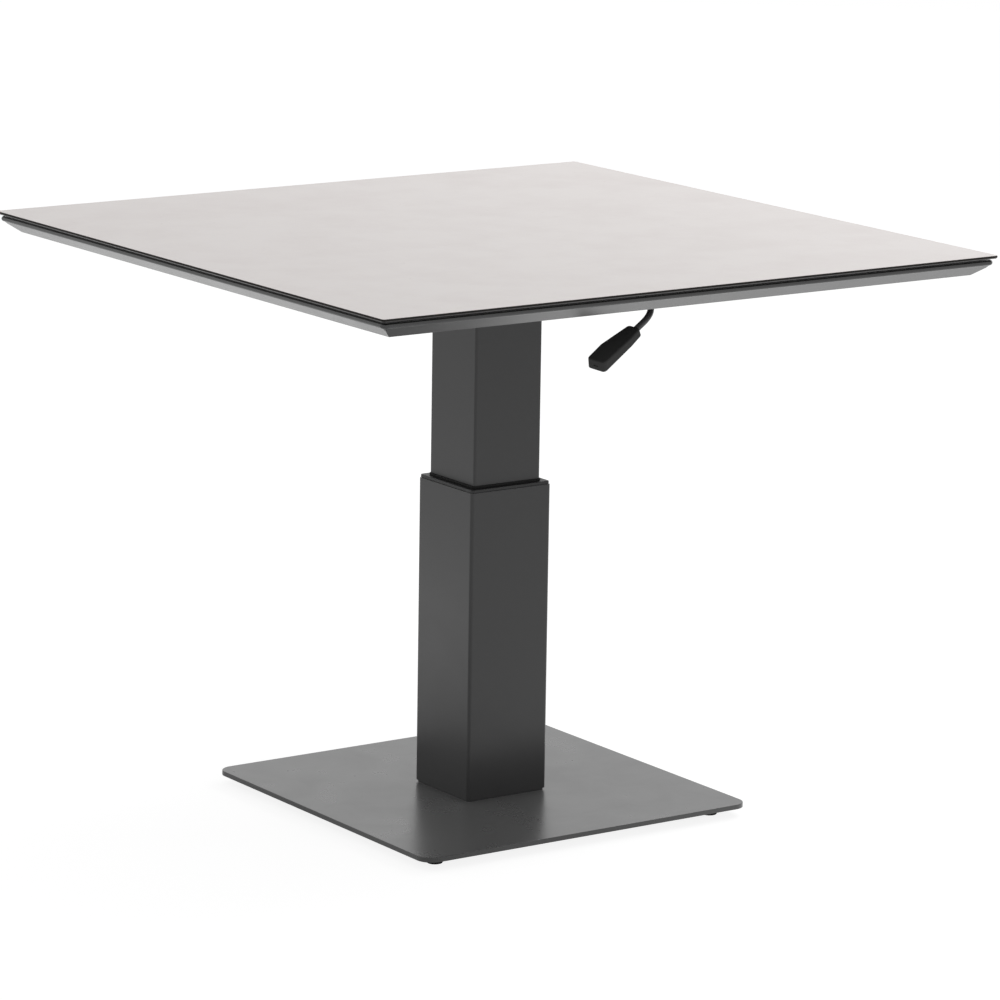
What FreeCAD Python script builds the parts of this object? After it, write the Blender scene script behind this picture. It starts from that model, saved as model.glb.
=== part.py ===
import FreeCAD, Part
import math
import os

from FreeCAD import Placement, Rotation, Vector

# Telescoping pedestal table, millimetres, +Z up.
# The origin is on the floor under the centre of the column.
# The front is -Y, the left is -X, and the release lever reaches out towards the front.
# The table is modelled raised: the upper column slides down from here by column_travel.

# ---------------------------------------------------------------- driving dimensions

# Tabletop panel
table_height = 732.0
top_side = 900.0
top_thickness = 4.0
top_corner_radius = 4.0
top_upper_chamfer = 0.6
top_lower_chamfer = 1.5

# Tabletop frame, a hollow bevelled rail mitred at the corners
shadow_gap = 2.0
frame_inset = 3.0
frame_height = 20.0
frame_width = 37.0
frame_lip_height = 6.6
frame_bevel_width = 21.0
frame_wall = 2.0
frame_corner_radius = 8.0
key_arm_length = 50.0
key_width = 11.0
tape_width = 16.0
tape_inset = 12.0

# Cross rails and the angles that hang them in the frame
cross_rail_offset = 70.0
cross_rail_width = 40.0
cross_rail_height = 15.0
cross_rail_wall = 2.0
angle_leg = 25.0
angle_height = 12.0
angle_thickness = 2.0
angle_screw_diameter = 4.0

# Column
column_travel = 240.0
lower_tube_side = 120.0
lower_tube_length = 395.0
lower_tube_corner_radius = 4.0
upper_tube_side = 100.0
upper_tube_corner_radius = 3.0
tube_wall = 3.0
tube_inner_corner_radius = 1.5
top_plate_thickness = 6.0
top_plate_depth = 160.0
top_plate_margin = 5.0
top_plate_corner_radius = 10.0
top_plate_hole = 70.0
flange_bolt_diameter = 8.0
flange_bolt_margin = 20.0

# Guide collar and wiper on the lower tube, slide shoe on the upper tube
collar_flange_height = 4.3
collar_reveal_height = 0.8
collar_reveal_depth = 0.9
collar_inset = 0.9
collar_sleeve_depth = 40.0
collar_edge_radius = 0.8
wiper_width = 1.2
wiper_depth = 2.0
wiper_proud = 2.6
wiper_edge_radius = 0.5
shoe_height = 40.0
shoe_lip = 3.0
shoe_screw_diameter = 4.0

# Base
base_side = 490.0
base_thickness = 6.0
base_corner_radius = 20.0
base_edge_radius = 0.8
glide_height = 12.0
glide_foot_height = 9.0
glide_diameter = 20.0
glide_edge_radius = 1.5
glide_neck_width = 13.0
glide_stem_diameter = 8.0
glide_stem_length = 4.5
glide_margin = 36.0
foot_flange_height = 3.0
foot_inset = 1.6
foot_spigot_height = 7.0
column_screw_diameter = 8.0
column_screw_offset = 40.0

# Lockable gas spring
cylinder_diameter = 28.0
cylinder_wall = 1.5
cylinder_dead_length = 100.0
cylinder_floor = 6.0
stud_diameter = 8.0
stud_nut_height = 4.0
stud_washer_thickness = 1.5
stud_washer_diameter = 20.0
rod_diameter = 10.0
rod_guide_height = 12.0
rod_guide_recess = 1.0
piston_height = 15.0
piston_cushion = 5.0
release_pin_diameter = 3.5
release_pin_length = 50.0

# Release bridge in the upper tube
bridge_length = 60.0
bridge_thickness = 5.0
bridge_flange_height = 25.0
bridge_screw_spacing = 36.0
bridge_screw_diameter = 5.0
rod_nut_height = 5.0
rod_thread_above_nut = 9.5

# Release button, cam and lever
button_diameter = 16.0
button_height = 4.0
button_chamfer = 0.5
button_lift = 3.7
cam_flat = 5.0
cam_diameter = 19.0
cam_length = 16.0
cam_screw_diameter = 4.0
lever_drop = 9.5
lever_diameter = 8.0
lever_edge_distance = 119.5
lever_tail = 8.0
lever_bend_radius = 40.0
lever_bend_angle = 81.0
lever_neck_length = 14.5
lever_droop = 30.0
bush_barrel_diameter = 11.0
bush_flange_diameter = 14.0
bush_flange_thickness = 1.5
bush_inside = 1.5
clip_diameter = 15.0
clip_thickness = 1.0

# Moulded grip
grip_length = 73.5
grip_neck_width = 18.5
grip_neck_thickness = 10.6
grip_end_thickness = 12.9
grip_end_slant = 2.0
grip_flare_rear = 8.7
grip_flare_rear_length = 43.0
grip_flare_front = 1.9
grip_flare_front_length = 22.0
grip_taper_rear = 1.5
grip_socket_depth = 30.0
grip_roll = 12.0
grip_corner_radius = 5.0
grip_edge_radius = 2.0
grip_slot_width = 7.0
grip_slot_height = 1.2
grip_slot_depth = 1.5

# Lever bracket under the cross rails
bracket_width = 24.0
bracket_thickness = 3.0
bracket_setback = 50.5
bracket_corner_radius = 6.0
bracket_tab_width = 28.0
bracket_tab_below = 12.0
bracket_screw_diameter = 5.0

# Fastener proportions, times the thread's diameter
flat_head_ratio = 2.0
pan_head_ratio = 2.0
pan_head_height_ratio = 0.6
hex_ratio = 1.6
bolt_head_height_ratio = 0.65
square_nut_ratio = 2.0
square_nut_height_ratio = 0.8
socket_ratio = 0.6
# Depth of a screw's socket and rounding of its crown, times the head's height
socket_depth_ratio = 0.6
crown_ratio = 0.6

# Clearances
slide_clearance = 0.3
collar_clearance = 0.4
press_clearance = 0.1
spigot_clearance = 0.3
running_clearance = 0.05
thread_clearance = 0.1
bolt_clearance = 0.5
button_clearance = 0.3
clip_clearance = 0.3
screw_recess = 0.3
stop_clearance = 5.0

# ---------------------------------------------------------------- derived levels and places

base_bottom = glide_height
base_top = base_bottom + base_thickness
lower_tube_bottom = base_top + foot_flange_height
lower_tube_top = lower_tube_bottom + lower_tube_length
foot_spigot_top = lower_tube_bottom + foot_spigot_height

panel_bottom = table_height - top_thickness
frame_top = panel_bottom - shadow_gap
frame_bottom = frame_top - frame_height
frame_half = top_side / 2 - frame_inset
frame_inner_half = frame_half - frame_width
cross_rail_bottom = frame_top - cross_rail_height
cross_rail_side = cross_rail_offset + cross_rail_width / 2
top_plate_bottom = cross_rail_bottom - top_plate_thickness
flange_bolt_y = top_plate_depth / 2 - flange_bolt_margin
rail_nut_top = cross_rail_bottom + cross_rail_wall + square_nut_height_ratio * flange_bolt_diameter

upper_tube_top = top_plate_bottom
upper_tube_bottom = foot_spigot_top + column_travel + stop_clearance + shoe_lip
upper_tube_half = upper_tube_side / 2
upper_tube_bore = upper_tube_side - 2 * tube_wall
lower_tube_bore = lower_tube_side - 2 * tube_wall

lever_axis = upper_tube_top - lever_drop
lever_reach = top_side / 2 - lever_edge_distance
button_top = lever_axis - cam_flat - button_clearance
rod_top = button_top - button_height - button_lift
bridge_top = rod_top - rod_thread_above_nut - rod_nut_height
bridge_bottom = bridge_top - bridge_thickness
bridge_screw_z = bridge_bottom - bridge_flange_height / 2

cylinder_length = column_travel + cylinder_dead_length
cylinder_bottom = foot_spigot_top
cylinder_top = cylinder_bottom + cylinder_length
cylinder_bore = cylinder_diameter - 2 * cylinder_wall
rod_guide_top = cylinder_top - rod_guide_recess
piston_top = rod_guide_top - rod_guide_height - piston_cushion
piston_bottom = piston_top - piston_height

glide_offset = base_side / 2 - glide_margin
bracket_y = -(lever_reach - bracket_setback)
lever_end_y = upper_tube_half + lever_tail

CORNERS = {
    "front_left": (-1, -1),
    "front_right": (1, -1),
    "rear_left": (-1, 1),
    "rear_right": (1, 1),
}
# Quarter turns about Z that carry the front rail to each side of the frame.
SIDES = {"front": 0, "right": 90, "rear": 180, "left": 270}

X_AXIS = Vector(1, 0, 0)
Y_AXIS = Vector(0, 1, 0)
Z_AXIS = Vector(0, 0, 1)

# Smallest difference that counts when edges are picked
TOLERANCE = 1e-6

# ---------------------------------------------------------------- shape helpers


def block(x_low, x_high, y_low, y_high, z_low, z_high):
    """Box between two corners."""
    corner = Vector(x_low, y_low, z_low)
    return Part.makeBox(x_high - x_low, y_high - y_low, z_high - z_low, corner)


def post(diameter, z_low, z_high, x=0.0, y=0.0):
    """Upright cylinder."""
    return Part.makeCylinder(diameter / 2, z_high - z_low, Vector(x, y, z_low))


def bar_along_y(diameter, y_low, y_high, z):
    """Cylinder along Y, over the column's centre line."""
    return Part.makeCylinder(diameter / 2, y_high - y_low, Vector(0, y_low, z), Y_AXIS)


def upright_edges(shape):
    """Straight edges of a shape that run along Z."""
    found = []
    for edge in shape.Edges:
        start = edge.Vertexes[0].Point
        end = edge.Vertexes[-1].Point
        across = math.hypot(end.x - start.x, end.y - start.y)
        if across < TOLERANCE and abs(end.z - start.z) > TOLERANCE:
            found.append(edge)
    return found


def edges_at(shape, z):
    """Edges that lie wholly at one level."""
    return [edge for edge in shape.Edges
            if abs(edge.BoundBox.ZMin - z) < TOLERANCE and abs(edge.BoundBox.ZMax - z) < TOLERANCE]


def square_post(side, corner_radius, z_low, z_high):
    """Upright square bar with rounded corners, on the column's centre line."""
    half = side / 2
    bar = block(-half, half, -half, half, z_low, z_high)
    return bar.makeFillet(corner_radius, upright_edges(bar))


def square_ring(outer_side, outer_radius, inner_side, inner_radius, z_low, z_high):
    """Upright square tube with rounded corners outside and inside."""
    outside = square_post(outer_side, outer_radius, z_low, z_high)
    return outside.cut(square_post(inner_side, inner_radius, z_low, z_high))


def polygon_prism(points, depth):
    """Prism from the corners of its outline."""
    return Part.Face(Part.makePolygon(points + [points[0]])).extrude(depth)


def hex_bar(across_flats, z_low, z_high, x=0.0, y=0.0):
    """Upright hexagonal bar."""
    corner_radius = across_flats / math.sqrt(3)
    points = []
    for degrees in range(0, 360, 60):
        turn = math.radians(degrees)
        points.append(Vector(x + corner_radius * math.cos(turn), y + corner_radius * math.sin(turn), z_low))
    return polygon_prism(points, Vector(0, 0, z_high - z_low))


def placed(shape, position, direction):
    """Copy of a shape made at the origin, with its +Z turned to a direction."""
    moved = shape.copy()
    moved.Placement = Placement(position, Rotation(Z_AXIS, direction))
    return moved


def turned(shape, degrees, centre=Vector(0, 0, 0), axis=Z_AXIS):
    """Copy of a shape turned about an axis."""
    copy = shape.copy()
    copy.rotate(centre, axis, degrees)
    return copy


def cut_all(shape, tools):
    """Shape with every tool cut away."""
    for tool in tools:
        shape = shape.cut(tool)
    return shape


def countersunk_screw(diameter, length):
    """Flat-head screw: the head's face at z = 0, the shank along +Z."""
    head_diameter = flat_head_ratio * diameter
    head_height = (head_diameter - diameter) / 2
    head = Part.makeCone(head_diameter / 2, diameter / 2, head_height)
    shank = Part.makeCylinder(diameter / 2, length)
    socket = hex_bar(socket_ratio * diameter, 0, socket_depth_ratio * head_height)
    return head.fuse(shank).cut(socket)


def countersunk_hole(diameter, clearance, depth):
    """Cutter for a flat-head screw whose head sits screw_recess below the surface at z = 0."""
    hole_diameter = diameter + 2 * clearance
    mouth_diameter = flat_head_ratio * diameter + 2 * clearance + 2 * screw_recess
    cone_height = (mouth_diameter - hole_diameter) / 2
    cone = Part.makeCone(mouth_diameter / 2, hole_diameter / 2, cone_height)
    return cone.fuse(Part.makeCylinder(hole_diameter / 2, depth))


def pan_screw(diameter, length):
    """Round-head screw: the head's seat at z = 0, the head below it, the shank along +Z."""
    head_height = pan_head_height_ratio * diameter
    head = Part.makeCylinder(pan_head_ratio * diameter / 2, head_height, Vector(0, 0, -head_height))
    head = head.makeFillet(crown_ratio * head_height, edges_at(head, -head_height))
    socket = hex_bar(socket_ratio * diameter, -head_height, (socket_depth_ratio - 1) * head_height)
    return head.cut(socket).fuse(Part.makeCylinder(diameter / 2, length))


# ---------------------------------------------------------------- base


def column_screw_places():
    """Centres of the four screws under the column."""
    reach = column_screw_offset
    return [Vector(x * reach, y * reach, base_bottom) for x, y in CORNERS.values()]


def base_plate():
    """Square steel plate with rounded corners, drilled from below for screws, glides and stud nut."""
    plate = square_post(base_side, base_corner_radius, base_bottom, base_top)
    plate = plate.makeFillet(base_edge_radius, edges_at(plate, base_top))
    tools = [post(stud_washer_diameter + 2 * bolt_clearance, base_bottom, base_top)]
    for place in column_screw_places():
        hole = countersunk_hole(column_screw_diameter, bolt_clearance, base_thickness)
        tools.append(placed(hole, place, Z_AXIS))
    stem_hole_top = base_bottom + glide_stem_length + press_clearance
    for x, y in CORNERS.values():
        stem_hole = glide_stem_diameter + 2 * press_clearance
        tools.append(post(stem_hole, base_bottom, stem_hole_top, glide_offset * x, glide_offset * y))
    return cut_all(plate, tools)


def glide(x, y):
    """Plastic glide: a foot with rounded rims, a hexagonal neck and a stem pressed into the base plate."""
    foot = post(glide_diameter, 0, glide_foot_height, x, y)
    foot = foot.makeFillet(glide_edge_radius, edges_at(foot, 0) + edges_at(foot, glide_foot_height))
    neck = hex_bar(glide_neck_width, glide_foot_height, glide_height, x, y)
    stem = post(glide_stem_diameter, glide_height, glide_height + glide_stem_length, x, y)
    return foot.fuse(neck).fuse(stem)


def column_foot_plate():
    """Stepped plate: a set-in flange that the lower tube stands on and a spigot inside the tube."""
    flange_radius = lower_tube_corner_radius
    flange = square_post(lower_tube_side - 2 * foot_inset, flange_radius, base_top, lower_tube_bottom)
    spigot_side = lower_tube_bore - 2 * spigot_clearance
    spigot_radius = tube_inner_corner_radius + spigot_clearance
    plate = flange.fuse(square_post(spigot_side, spigot_radius, lower_tube_bottom, foot_spigot_top))
    tools = [post(stud_diameter + 2 * thread_clearance, base_top, foot_spigot_top)]
    for place in column_screw_places():
        hole_diameter = column_screw_diameter + 2 * thread_clearance
        tools.append(post(hole_diameter, base_top, foot_spigot_top, place.x, place.y))
    return cut_all(plate, tools)


def column_screws():
    """Four flat-head screws up through the base plate into the foot plate."""
    length = foot_spigot_top - base_bottom - 2 * screw_recess
    screw = countersunk_screw(column_screw_diameter, length)
    lift = Vector(0, 0, screw_recess)
    return Part.makeCompound([placed(screw, place + lift, Z_AXIS) for place in column_screw_places()])


def lower_tube():
    """Outer column tube, standing on the foot plate."""
    return square_ring(lower_tube_side, lower_tube_corner_radius, lower_tube_bore, tube_inner_corner_radius,
                       lower_tube_bottom, lower_tube_top)


def guide_collar():
    """Plastic frame on the lower tube's mouth: a flange over a shadow line and a sleeve inside the tube."""
    opening = upper_tube_side + 2 * collar_clearance
    opening_radius = upper_tube_corner_radius + collar_clearance
    top = lower_tube_top + collar_flange_height
    flange_side = lower_tube_side - 2 * collar_inset
    flange_bottom = lower_tube_top + collar_reveal_height
    flange = square_post(flange_side, lower_tube_corner_radius, flange_bottom, top)
    flange = flange.makeFillet(collar_edge_radius, edges_at(flange, top))
    neck_side = flange_side - 2 * collar_reveal_depth
    neck_radius = lower_tube_corner_radius - collar_reveal_depth
    neck = square_post(neck_side, neck_radius, lower_tube_top, flange_bottom)
    sleeve_bottom = lower_tube_top - collar_sleeve_depth
    sleeve_side = lower_tube_bore - 2 * press_clearance
    sleeve_radius = tube_inner_corner_radius + press_clearance
    sleeve = square_post(sleeve_side, sleeve_radius, sleeve_bottom, lower_tube_top)
    body = flange.fuse(neck).fuse(sleeve)
    body = body.cut(square_post(opening, opening_radius, sleeve_bottom, top))
    rebate_side = opening + 2 * wiper_width
    return body.cut(square_post(rebate_side, opening_radius + wiper_width, top - wiper_depth, top))


def collar_wiper():
    """Rubber ring in the collar's rebate that stands a little proud round the upper tube."""
    bottom = lower_tube_top + collar_flange_height - wiper_depth
    top = lower_tube_top + collar_flange_height + wiper_proud
    reach = collar_clearance + wiper_width - press_clearance
    outer_side = upper_tube_side + 2 * reach
    outer_radius = upper_tube_corner_radius + reach
    inner_side = upper_tube_side + 2 * slide_clearance
    inner_radius = upper_tube_corner_radius + slide_clearance
    ring = square_ring(outer_side, outer_radius, inner_side, inner_radius, bottom, top)
    middle = (inner_side + wiper_width) / 2
    rim = [edge for edge in edges_at(ring, top) if max_reach(edge) > middle]
    return ring.makeFillet(wiper_edge_radius, rim)


def max_reach(edge):
    """Largest distance of an edge from the column's centre planes."""
    box = edge.BoundBox
    return max(abs(box.XMin), abs(box.XMax), abs(box.YMin), abs(box.YMax))


# ---------------------------------------------------------------- gas spring


def gas_cylinder():
    """Pressure tube with a closed floor and a threaded stud below."""
    body = post(cylinder_diameter, cylinder_bottom, cylinder_top)
    body = body.cut(post(cylinder_bore, cylinder_bottom + cylinder_floor, cylinder_top))
    stud_bottom = base_bottom + screw_recess
    return body.fuse(post(stud_diameter, stud_bottom, cylinder_bottom))


def gas_stud_washer():
    """Washer under the foot plate."""
    washer = post(stud_washer_diameter, base_top - stud_washer_thickness, base_top)
    return washer.cut(post(stud_diameter + 2 * bolt_clearance, base_top - stud_washer_thickness, base_top))


def gas_stud_nut():
    """Thin nut that holds the cylinder's stud, inside the base plate's thickness."""
    top = base_top - stud_washer_thickness
    nut = hex_bar(hex_ratio * stud_diameter, top - stud_nut_height, top)
    return nut.cut(post(stud_diameter + 2 * thread_clearance, top - stud_nut_height, top))


def gas_rod_guide():
    """Guide and seal carrier at the cylinder's mouth."""
    bottom = rod_guide_top - rod_guide_height
    guide = post(cylinder_bore - 2 * running_clearance, bottom, rod_guide_top)
    return guide.cut(post(rod_diameter + 2 * running_clearance, bottom, rod_guide_top))


def gas_piston():
    """Valve piston on the rod's lower end."""
    piston = post(cylinder_bore - 2 * press_clearance, piston_bottom, piston_top)
    return piston.cut(post(rod_diameter + 2 * running_clearance, piston_bottom, piston_top))


def piston_rod():
    """Hollow-ended rod from the piston up through the release bridge."""
    rod = post(rod_diameter, piston_bottom, rod_top)
    bore_bottom = rod_top - release_pin_length
    return rod.cut(post(release_pin_diameter + 2 * running_clearance, bore_bottom, rod_top))


def piston_rod_nuts():
    """One nut above and one below the release bridge."""
    nuts = []
    for bottom in (bridge_top, bridge_bottom - rod_nut_height):
        nut = hex_bar(hex_ratio * rod_diameter, bottom, bottom + rod_nut_height)
        nuts.append(nut.cut(post(rod_diameter + 2 * thread_clearance, bottom, bottom + rod_nut_height)))
    return Part.makeCompound(nuts)


def release_pin():
    """Valve pin in the piston rod's bore, with room below it for its stroke."""
    bottom = rod_top - release_pin_length + button_lift
    return post(release_pin_diameter, bottom, button_top - button_height)


def release_button():
    """Round head on the release pin, under the cam."""
    button = post(button_diameter, button_top - button_height, button_top)
    return button.makeChamfer(button_chamfer, edges_at(button, button_top - button_height))


# ---------------------------------------------------------------- upper column


def bridge_screw_places():
    """Seat and inward direction of each screw through the upper tube's side walls."""
    places = []
    for side in (-1, 1):
        for end in (-1, 1):
            seat = Vector(side * upper_tube_half, end * bridge_screw_spacing / 2, bridge_screw_z)
            places.append((seat, Vector(-side, 0, 0)))
    return places


def shoe_screw_places():
    """Seat and inward direction of the screw on each side of the slide shoe."""
    reach = lower_tube_bore / 2 - slide_clearance
    height = upper_tube_bottom + shoe_height / 2
    places = []
    for x, y in ((1, 0), (0, 1), (-1, 0), (0, -1)):
        places.append((Vector(x * reach, y * reach, height), Vector(-x, -y, 0)))
    return places


def upper_tube():
    """Inner column tube, with holes for the lever bushes, the bridge screws and the shoe screws."""
    tube = square_ring(upper_tube_side, upper_tube_corner_radius, upper_tube_bore, tube_inner_corner_radius,
                       upper_tube_bottom, upper_tube_top)
    bush_hole = bush_barrel_diameter + 2 * press_clearance
    tools = [bar_along_y(bush_hole, -upper_tube_half, upper_tube_half, lever_axis)]
    bridge_hole = countersunk_hole(bridge_screw_diameter, thread_clearance, tube_wall)
    for seat, inward in bridge_screw_places():
        tools.append(placed(bridge_hole, seat, inward))
    for seat, inward in shoe_screw_places():
        depth = lower_tube_bore / 2 - slide_clearance - upper_tube_half + tube_wall
        hole = Part.makeCylinder(shoe_screw_diameter / 2 + thread_clearance, depth)
        tools.append(placed(hole, seat, inward))
    return cut_all(tube, tools)


def slide_shoe():
    """Plastic shoe round the upper tube's lower end, with a lip under the tube."""
    outer_side = lower_tube_bore - 2 * slide_clearance
    outer_radius = tube_inner_corner_radius + slide_clearance
    pocket_side = upper_tube_side + 2 * press_clearance
    pocket_radius = upper_tube_corner_radius + press_clearance
    bottom = upper_tube_bottom - shoe_lip
    top = upper_tube_bottom + shoe_height
    shoe = square_ring(outer_side, outer_radius, upper_tube_bore, tube_inner_corner_radius, bottom, top)
    shoe = shoe.cut(square_post(pocket_side, pocket_radius, upper_tube_bottom, top))
    depth = outer_side / 2 - upper_tube_half
    tools = []
    for seat, inward in shoe_screw_places():
        tools.append(placed(countersunk_hole(shoe_screw_diameter, thread_clearance, depth), seat, inward))
    return cut_all(shoe, tools)


def shoe_screws():
    """Four flat-head screws through the shoe into the upper tube."""
    length = lower_tube_bore / 2 - slide_clearance - upper_tube_half + tube_wall
    screw = countersunk_screw(shoe_screw_diameter, length)
    screws = [placed(screw, seat + inward * screw_recess, inward) for seat, inward in shoe_screw_places()]
    return Part.makeCompound(screws)


def release_bridge():
    """Steel channel across the upper tube that carries the piston rod."""
    half_width = upper_tube_bore / 2 - press_clearance
    half_length = bridge_length / 2
    flange_bottom = bridge_bottom - bridge_flange_height
    outside = block(-half_width, half_width, -half_length, half_length, flange_bottom, bridge_top)
    inner = half_width - bridge_thickness
    channel = outside.cut(block(-inner, inner, -half_length, half_length, flange_bottom, bridge_bottom))
    tools = [post(rod_diameter + 2 * thread_clearance, bridge_bottom, bridge_top)]
    for seat, inward in bridge_screw_places():
        hole = Part.makeCylinder(bridge_screw_diameter / 2 + thread_clearance, upper_tube_half - inner)
        tools.append(placed(hole, seat, inward))
    return cut_all(channel, tools)


def bridge_screws():
    """Four flat-head screws through the upper tube into the bridge's flanges."""
    length = tube_wall + bridge_thickness
    screw = countersunk_screw(bridge_screw_diameter, length)
    screws = [placed(screw, seat + inward * screw_recess, inward) for seat, inward in bridge_screw_places()]
    return Part.makeCompound(screws)


def flange_bolt_places():
    """Centres of the bolts from the top plate up into the cross rails."""
    return [(x * cross_rail_offset, y * flange_bolt_y) for x, y in CORNERS.values()]


def top_plate():
    """Steel plate on the upper tube's top end, under the cross rails."""
    half_width = cross_rail_side + top_plate_margin
    half_depth = top_plate_depth / 2
    plate = block(-half_width, half_width, -half_depth, half_depth, top_plate_bottom, cross_rail_bottom)
    plate = plate.makeFillet(top_plate_corner_radius, upright_edges(plate))
    tools = [post(top_plate_hole, top_plate_bottom, cross_rail_bottom)]
    for x, y in flange_bolt_places():
        hole_diameter = flange_bolt_diameter + 2 * bolt_clearance
        tools.append(post(hole_diameter, top_plate_bottom, cross_rail_bottom, x, y))
    return cut_all(plate, tools)


def flange_bolts():
    """Four hexagon bolts through the top plate into the rails' nuts."""
    across_flats = hex_ratio * flange_bolt_diameter
    head_bottom = top_plate_bottom - bolt_head_height_ratio * flange_bolt_diameter
    bolts = []
    for x, y in flange_bolt_places():
        head = hex_bar(across_flats, head_bottom, top_plate_bottom, x, y)
        bolts.append(head.fuse(post(flange_bolt_diameter, top_plate_bottom, rail_nut_top, x, y)))
    return Part.makeCompound(bolts)


def rail_nuts():
    """Four square nuts inside the cross rails."""
    bottom = cross_rail_bottom + cross_rail_wall
    half = square_nut_ratio * flange_bolt_diameter / 2
    nuts = []
    for x, y in flange_bolt_places():
        nut = block(x - half, x + half, y - half, y + half, bottom, rail_nut_top)
        nuts.append(nut.cut(post(flange_bolt_diameter + 2 * thread_clearance, bottom, rail_nut_top, x, y)))
    return Part.makeCompound(nuts)


# ---------------------------------------------------------------- tabletop


def angle_screw_reach():
    """Distance of an angle's screws from the corner between frame and cross rail."""
    return (angle_leg + angle_thickness) / 2


def frame_rail():
    """Front rail of the frame: hollow bevelled profile with a rounded lip, mitred at both ends."""
    nose = frame_lip_height / 2
    outer = -frame_half
    lip_bottom = frame_top - frame_lip_height
    bevel_foot = outer + frame_bevel_width
    inner = -frame_inner_half
    arc = Part.Arc(Vector(0, outer + nose, frame_top), Vector(0, outer, frame_top - nose),
                   Vector(0, outer + nose, lip_bottom)).toShape()
    straight = Part.makePolygon([Vector(0, outer + nose, lip_bottom), Vector(0, bevel_foot, frame_bottom),
                                 Vector(0, inner, frame_bottom), Vector(0, inner, frame_top),
                                 Vector(0, outer + nose, frame_top)])
    outline = Part.Wire([arc] + straight.Edges)

    fall = (lip_bottom - frame_bottom) / (frame_bevel_width - nose)
    wall_drop = frame_wall * math.hypot(1, fall)
    cavity_left = outer + nose + frame_wall
    cavity_shoulder = lip_bottom - fall * frame_wall + wall_drop
    cavity_foot = cavity_left + (cavity_shoulder - frame_bottom - frame_wall) / fall
    cavity = Part.makePolygon([Vector(0, cavity_left, frame_top - frame_wall),
                               Vector(0, cavity_left, cavity_shoulder),
                               Vector(0, cavity_foot, frame_bottom + frame_wall),
                               Vector(0, inner - frame_wall, frame_bottom + frame_wall),
                               Vector(0, inner - frame_wall, frame_top - frame_wall),
                               Vector(0, cavity_left, frame_top - frame_wall)])
    length = Vector(2 * frame_half, 0, 0)
    bar = Part.Face(outline).extrude(length).cut(Part.Face(cavity).extrude(length))
    bar.translate(Vector(-frame_half, 0, 0))
    mitre = polygon_prism([Vector(-frame_half, -frame_half, frame_bottom),
                           Vector(frame_half, -frame_half, frame_bottom),
                           Vector(0, 0, frame_bottom)], Vector(0, 0, frame_height))
    rail = bar.common(mitre)
    rounding = lip_rounding(Part.Face(outline))
    return cut_all(rail, [rounding, rounding.mirror(Vector(0, 0, 0), X_AXIS)])


def lip_rounding(section):
    """Cutter for a rail's left tip that carries the lip round the frame's corner."""
    reach = frame_half - frame_corner_radius
    section.translate(Vector(-reach, 0, 0))
    outside = block(-reach - frame_wall, -reach + frame_wall, -frame_half, -reach, frame_bottom, frame_top)
    swept = section.common(outside).Faces[0].revolve(Vector(-reach, -reach, 0), -Z_AXIS, 90)
    return block(-frame_half, -reach, -frame_half, -reach, frame_bottom, frame_top).cut(swept)


def frame_side(name):
    """One rail of the frame; the front and rear rails are drilled for the angle screws."""
    rail = frame_rail()
    if name in ("front", "rear"):
        x = cross_rail_side + angle_screw_reach()
        height = frame_top - cross_rail_height / 2
        for side in (-1, 1):
            hole = Part.makeCylinder(angle_screw_diameter / 2 + thread_clearance, frame_wall)
            rail = rail.cut(placed(hole, Vector(side * x, -frame_inner_half, height), -Y_AXIS))
    return turned(rail, SIDES[name])


def corner_key(x_sign, y_sign):
    """L-shaped key inside the hollow of two rails that meet in a mitre."""
    near = frame_half - frame_width + frame_wall + press_clearance
    far = near + key_width
    end = far - key_arm_length
    low = frame_bottom + frame_wall + press_clearance
    high = frame_top - frame_wall - press_clearance
    arm_x = block(end, far, near, far, low, high)
    arm_y = block(near, far, end, far, low, high)
    key = arm_x.fuse(arm_y).removeSplitter()
    quarter = {(1, 1): 0, (-1, 1): 90, (-1, -1): 180, (1, -1): 270}
    return turned(key, quarter[(x_sign, y_sign)])


def frame_tapes():
    """Four strips of bonding tape on the frame, under the panel."""
    outer = frame_half - tape_inset
    inner = outer - tape_width
    strip = block(-inner, outer, -outer, -inner, frame_top, panel_bottom)
    return Part.makeCompound([turned(strip, turn) for turn in SIDES.values()])


def rail_tapes():
    """A strip of bonding tape on each cross rail, under the panel."""
    reach = frame_inner_half - tape_inset
    half = tape_width / 2
    strips = []
    for x in (-cross_rail_offset, cross_rail_offset):
        strips.append(block(x - half, x + half, -reach, reach, frame_top, panel_bottom))
    return Part.makeCompound(strips)


def tabletop_panel():
    """Thin square panel with rounded corners, its edges chamfered more below than above."""
    panel = square_post(top_side, top_corner_radius, panel_bottom, table_height)
    panel = panel.makeChamfer(top_upper_chamfer, edges_at(panel, table_height))
    return panel.makeChamfer(top_lower_chamfer, edges_at(panel, panel_bottom))


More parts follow.
